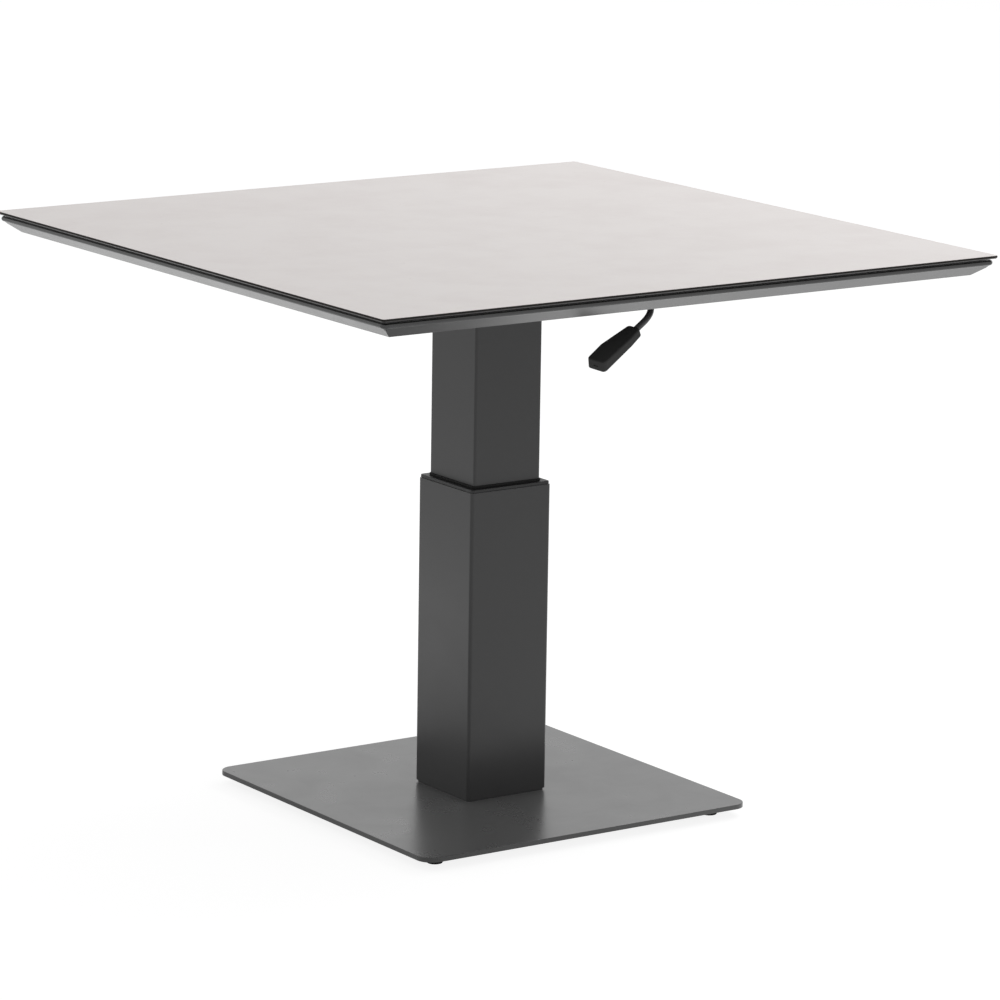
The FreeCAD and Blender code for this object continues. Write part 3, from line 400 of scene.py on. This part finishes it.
class LayTabletop(bpy.types.Operator):
    """Build the compact laminate top: black core with broken edges and a pale decor sheet"""

    bl_idname = "pedestal_table.lay_tabletop"
    bl_label = "Laminate top"

    def execute(self, context):
        sizes = context.scene.table_sizes
        colours = context.scene.table_colours
        bottom, top = PANEL_LOW.z, PANEL_HIGH.z
        seam = top - sizes.decor_thickness
        seam_inset = PANEL_UPPER_CHAMFER - sizes.decor_thickness
        core = new_object("tabletop_core",
                          self.layer((bottom, PANEL_LOWER_CHAMFER), (bottom + PANEL_LOWER_CHAMFER, 0),
                                     (top - PANEL_UPPER_CHAMFER, 0), (seam, seam_inset)),
                          phenolic_core("milled_phenolic_core", colours, roughness=0.7, specular=0.25))
        burnished = phenolic_core("burnished_phenolic_core", colours, roughness=0.25, specular=0.6)
        core.data.materials.append(burnished)
        # The lower chamfer, the only faces that look both outwards and down, is burnished.
        for face in core.data.polygons:
            slopes_down = -0.9 < face.normal.z < -0.3
            face.material_index = int(slopes_down)
        decor = new_object("tabletop_decor", self.layer((seam, seam_inset), (top, PANEL_UPPER_CHAMFER)),
                           decor_laminate(colours))
        rounding = core.modifiers.new("edge_rounding", "BEVEL")
        rounding.width = sizes.edge_rounding
        rounding.segments = 2
        rounding.limit_method = "ANGLE"
        for piece in (core, decor):
            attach(piece, "upper")
        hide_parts("tabletop_panel")
        dress(foam_tape(), "frame_tapes", "rail_tapes")
        return {"FINISHED"}

    def layer(self, *levels):
        """Layer of the panel through outlines, each given by its level and how far it is set in."""
        return stacked_rings([rounded_square(PANEL_HIGH.x - inset, PANEL_CORNER_RADIUS - inset, z)
                              for z, inset in levels])


class CoatFrame(bpy.types.Operator):
    """Finish the bevelled aluminium frame under the top, and its corner keys"""

    bl_idname = "pedestal_table.coat_frame"
    bl_label = "Tabletop frame"

    def execute(self, context):
        # On extruded rails the film flows out smoother than on welded steel.
        coat = powder_coat("powder_coated_aluminium", tuple(context.scene.table_colours.coat),
                           roughness=0.24, index=1.85, sheen=0.5)
        dress(coat, *each("frame_rail", SIDES))
        dress(mill_aluminium(), *each("corner_key", CORNERS))
        return {"FINISHED"}


class CoatSteelwork(bpy.types.Operator):
    """Finish the column, the base and the rails, and lay the weld under the top plate"""

    bl_idname = "pedestal_table.coat_steelwork"
    bl_label = "Column, base and rails"

    def execute(self, context):
        sizes = context.scene.table_sizes
        anthracite = tuple(context.scene.table_colours.coat)
        coat = powder_coat("powder_coated_steel", anthracite, roughness=0.31, index=1.75, sheen=0.28)
        dress(coat, "column_foot_plate", "lower_tube", "upper_tube", "top_plate", "cross_rail_left",
              "cross_rail_right", "lever_bracket")
        # The wide plate takes a thicker film than the tubes, which flows out smoother and shines more.
        plate_coat = powder_coat("powder_coated_steel_plate", anthracite, roughness=0.29, index=1.9,
                                 sheen=0.28)
        dress(plate_coat, "base_plate")
        bead = new_object("weld_bead", self.weld_bead(sizes), coat)
        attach(bead, "upper")
        return {"FINISHED"}

    def weld_bead(self, sizes):
        """Rippled fillet weld round the upper tube's top end."""
        half = UPPER_TUBE_HIGH.x
        top = UPPER_TUBE_HIGH.z
        path = self.evenly_spaced(rounded_square(half, UPPER_TUBE_CORNER_RADIUS, top),
                                  sizes.weld_ripple / WELD_SECTIONS_PER_RIPPLE)
        count = len(path)
        rings = []
        walked = 0.0
        for index, point in enumerate(path):
            ahead = path[(index + 1) % count] - path[index - 1]
            outward = Vector((ahead.y, -ahead.x, 0)).normalized()
            swell = 1 + WELD_SWELL * math.sin(2 * math.pi * walked / sizes.weld_ripple)
            leg = sizes.weld_leg * swell
            walked += (path[(index + 1) % count] - point).length
            rings.append([point + outward * leg * across + Vector((0, 0, -leg * down))
                          for across, down in WELD_SECTION])
        return stacked_rings(rings, closed_ends=False)

    def evenly_spaced(self, corners, step):
        """Points along a closed outline, about a step apart."""
        points = []
        for start, end in zip(corners, corners[1:] + corners[:1]):
            parts = max(1, round((end - start).length / step))
            points += [start.lerp(end, part / parts) for part in range(parts)]
        return points


class FinishFittings(bpy.types.Operator):
    """Finish the plastic, rubber and plated fittings of column, base and top"""

    bl_idname = "pedestal_table.finish_fittings"
    bl_label = "Fittings and fasteners"

    def execute(self, context):
        colours = context.scene.table_colours
        dress(moulded_nylon("moulded_anthracite_nylon", tuple(colours.collar), roughness=0.42, specular=0.5),
              "guide_collar")
        dress(moulded_nylon("moulded_grip_nylon", tuple(colours.grip), roughness=0.6, specular=0.12),
              "lever_grip")
        dress(moulded_nylon("moulded_black_nylon", tuple(colours.glides), roughness=0.6, specular=0.2),
              "slide_shoe", "gas_rod_guide", "lever_bush_front", "lever_bush_rear", "lever_bush_outer",
              *each("glide", CORNERS))
        # The wiper is black rubber. Its black band round the upper tube also stands in for the shade in the
        # clearance gap there, as a painted shade.
        dress(nitrile_rubber(), "collar_wiper")
        dress(zinc_plate(tuple(colours.zinc)), "column_screws", "shoe_screws", "flange_bolts", "rail_nuts",
              "angle_screws", "bracket_screws", "gas_stud_washer", "gas_stud_nut", "gas_piston",
              "piston_rod_nuts", "release_bridge", "lever_clips", "release_cam", "release_button",
              *each("rail_angle", CORNERS))
        return {"FINISHED"}


class FinishMechanism(bpy.types.Operator):
    """Finish the gas spring and the lever's rod and dark screws"""

    bl_idname = "pedestal_table.finish_mechanism"
    bl_label = "Gas spring and lever"

    def execute(self, context):
        dress(black_lacquer(), "gas_cylinder")
        dress(hard_chrome(), "piston_rod", "release_pin")
        dress(black_zinc(), "lever_rod", "bridge_screws", "cam_screw")
        return {"FINISHED"}


class SetStage(bpy.types.Operator):
    """Set the camera, the pale floor and the soft light"""

    bl_idname = "pedestal_table.set_stage"
    bl_label = "Studio"

    def execute(self, context):
        studio = context.scene.studio_settings
        context.scene.view_settings.view_transform = "Standard"
        self.camera(context.scene, studio)
        self.floor()
        self.room(context.scene, studio)
        self.softbox(studio)
        return {"FINISHED"}

    def camera(self, scene, studio):
        """Camera a little above the top, looking down at the front left corner."""
        right = Vector((0.824876, -0.565113, 0.014973))
        up = Vector((0.107617, 0.182974, 0.977211))
        back = right.cross(up)
        place = Vector((-3.46808827, -5.06177798, 1.72050901))
        data = bpy.data.cameras.new("camera")
        data.lens = studio.lens
        data.sensor_width = 36.0
        data.clip_end = 100.0
        camera = bpy.data.objects.new("camera", data)
        turn = Matrix((right, up, back)).transposed().to_4x4()
        camera.matrix_world = Matrix.Translation(place) @ turn
        scene.collection.objects.link(camera)
        scene.camera = camera

    def floor(self):
        """Wide white floor that keeps a light shadow under the table."""
        radius = 9.0
        painted_pool_middle = (0.5, 0.8, 0.0)
        painted_shadow_middle = (-0.1, 0.33, 0.0)
        material = bpy.data.materials.new("white_floor")
        material.use_nodes = True
        tree = material.node_tree
        tree.nodes.clear()
        rays = add(tree, "ShaderNodeLightPath")
        # Light falls on plain paint. The camera sees thin paint over a glow: white with a faint shadow.
        paint = add(tree, "ShaderNodeBsdfDiffuse", {"Color": (0.9, 0.9, 0.9, 1)})
        thin_paint = add(tree, "ShaderNodeBsdfDiffuse", {"Color": (0.3, 0.3, 0.3, 1)})
        glow = add(tree, "ShaderNodeEmission", {"Color": (1, 1, 1, 1), "Strength": 0.86})
        seen = add(tree, "ShaderNodeAddShader", {0: thin_paint.outputs[0], 1: glow.outputs[0]})
        # Reflections see a painted shadow under the table and a painted pool of light round it, and plain
        # paint further out.
        place = add(tree, "ShaderNodeTexCoord").outputs["Object"]
        from_painted_pool = add(tree, "ShaderNodeVectorMath", {0: place, 1: painted_pool_middle}, operation="DISTANCE")
        painted_pool = add(tree, "ShaderNodeMapRange", {"Value": from_painted_pool.outputs["Value"], "From Min": 1.0,
                                                "From Max": 1.4, "To Min": 1.0, "To Max": 0.0})
        from_painted_shadow = add(tree, "ShaderNodeVectorMath", {0: place, 1: painted_shadow_middle}, operation="DISTANCE")
        painted_shade = add(tree, "ShaderNodeMapRange", {"Value": from_painted_shadow.outputs["Value"], "From Min": 0.3,
                                                 "From Max": 0.75, "To Min": 0.2, "To Max": 1.15})
        # Painted light that only reflections see: the painted pool of light times the painted shadow.
        painted_floor_light = add(tree, "ShaderNodeMath", {0: painted_pool.outputs["Result"], 1: painted_shade.outputs["Result"]},
                       operation="MULTIPLY")
        straight = add(tree, "ShaderNodeMath", {0: rays.outputs["Is Glossy Ray"], 1: painted_floor_light.outputs[0],
                                                2: rays.outputs["Is Camera Ray"]}, operation="MULTIPLY_ADD")
        both = add(tree, "ShaderNodeMixShader", {"Fac": straight.outputs[0], 1: paint.outputs[0],
                                                 2: seen.outputs[0]})
        # Looked at from below, the floor is clear, so that the underside shows.
        side = add(tree, "ShaderNodeNewGeometry")
        clear = add(tree, "ShaderNodeBsdfTransparent")
        sided = add(tree, "ShaderNodeMixShader", {"Fac": side.outputs["Backfacing"], 1: both.outputs[0],
                                                  2: clear.outputs[0]})
        add(tree, "ShaderNodeOutputMaterial", {"Surface": sided.outputs[0]})
        builder = bmesh.new()
        bmesh.ops.create_circle(builder, cap_ends=True, segments=96, radius=radius)
        floor = new_object("floor", builder, material)

    def room(self, scene, studio):
        """Pale room, softer as a light: white to the camera, and in reflections white behind the table."""
        behind_table = (0.6, 0.8, 0.0)
        world = bpy.data.worlds.new("pale_room")
        world.use_nodes = True
        tree = world.node_tree
        tree.nodes.clear()
        rays = add(tree, "ShaderNodeLightPath")
        looking = add(tree, "ShaderNodeTexCoord").outputs["Generated"]
        heading = add(tree, "ShaderNodeVectorMath", {0: looking, 1: behind_table}, operation="DOT_PRODUCT")
        sweep = add(tree, "ShaderNodeMapRange", {"Value": heading.outputs["Value"], "From Min": 0.3,
                                                 "From Max": 0.9, "To Min": 0.25, "To Max": 1.0})
        seen = add(tree, "ShaderNodeMath", {0: rays.outputs["Is Glossy Ray"], 1: sweep.outputs["Result"],
                                            2: rays.outputs["Is Camera Ray"]}, operation="MULTIPLY_ADD")
        clear = add(tree, "ShaderNodeMath", {0: seen.outputs[0], 1: rays.outputs["Is Transmission Ray"]},
                    operation="MAXIMUM")
        strength = add(tree, "ShaderNodeMix", {"Factor": clear.outputs[0], "A": studio.room_light, "B": 1.0})
        walls = add(tree, "ShaderNodeBackground", {"Color": (1, 1, 1, 1), "Strength": strength.outputs[0]})
        add(tree, "ShaderNodeOutputWorld", {"Surface": walls.outputs[0]})
        scene.world = world

    def softbox(self, studio):
        """Large softbox high to the right of the table, turned to the column."""
        column_middle = Vector((0, 0, 0.4))
        data = bpy.data.lights.new("softbox", "AREA")
        data.shape = "SQUARE"
        data.size = 2.6
        data.energy = studio.softbox_power
        softbox = bpy.data.objects.new("softbox", data)
        softbox.location = (1.7, 0.2, 2.8)
        aim = column_middle - softbox.location
        softbox.rotation_euler = aim.to_track_quat("-Z", "Y").to_euler()
        bpy.context.collection.objects.link(softbox)


OPERATORS = (LayTabletop, CoatFrame, CoatSteelwork, FinishFittings, FinishMechanism, SetStage)
SETTINGS = {"table_sizes": TableSizes, "table_colours": TableColours, "studio_settings": StudioSettings}


class TablePanel(bpy.types.Panel):
    """Lists the table's pieces and their settings"""

    bl_idname = "VIEW3D_PT_pedestal_table"
    bl_label = "Pedestal table"
    bl_space_type = "VIEW_3D"
    bl_region_type = "UI"
    bl_category = "Pedestal table"

    def draw(self, context):
        for operator in OPERATORS:
            self.layout.operator(operator.bl_idname)
        for name, group in SETTINGS.items():
            for setting in group.__annotations__:
                self.layout.prop(getattr(context.scene, name), setting)


def register():
    """Registers the settings, the operators and the panel."""
    for group in SETTINGS.values():
        bpy.utils.register_class(group)
    for name, group in SETTINGS.items():
        setattr(bpy.types.Scene, name, PointerProperty(type=group))
    for operator in OPERATORS:
        bpy.utils.register_class(operator)
    bpy.utils.register_class(TablePanel)


def unregister():
    """Takes out what register put in, in the opposite order."""
    bpy.utils.unregister_class(TablePanel)
    for operator in reversed(OPERATORS):
        bpy.utils.unregister_class(operator)
    for name in SETTINGS:
        delattr(bpy.types.Scene, name)
    for group in SETTINGS.values():
        bpy.utils.unregister_class(group)


def main():
    """Registers the add-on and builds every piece."""
    register()
    bpy.ops.pedestal_table.lay_tabletop()
    bpy.ops.pedestal_table.coat_frame()
    bpy.ops.pedestal_table.coat_steelwork()
    bpy.ops.pedestal_table.finish_fittings()
    bpy.ops.pedestal_table.finish_mechanism()
    bpy.ops.pedestal_table.set_stage()


if __name__ == "__main__":
    main()
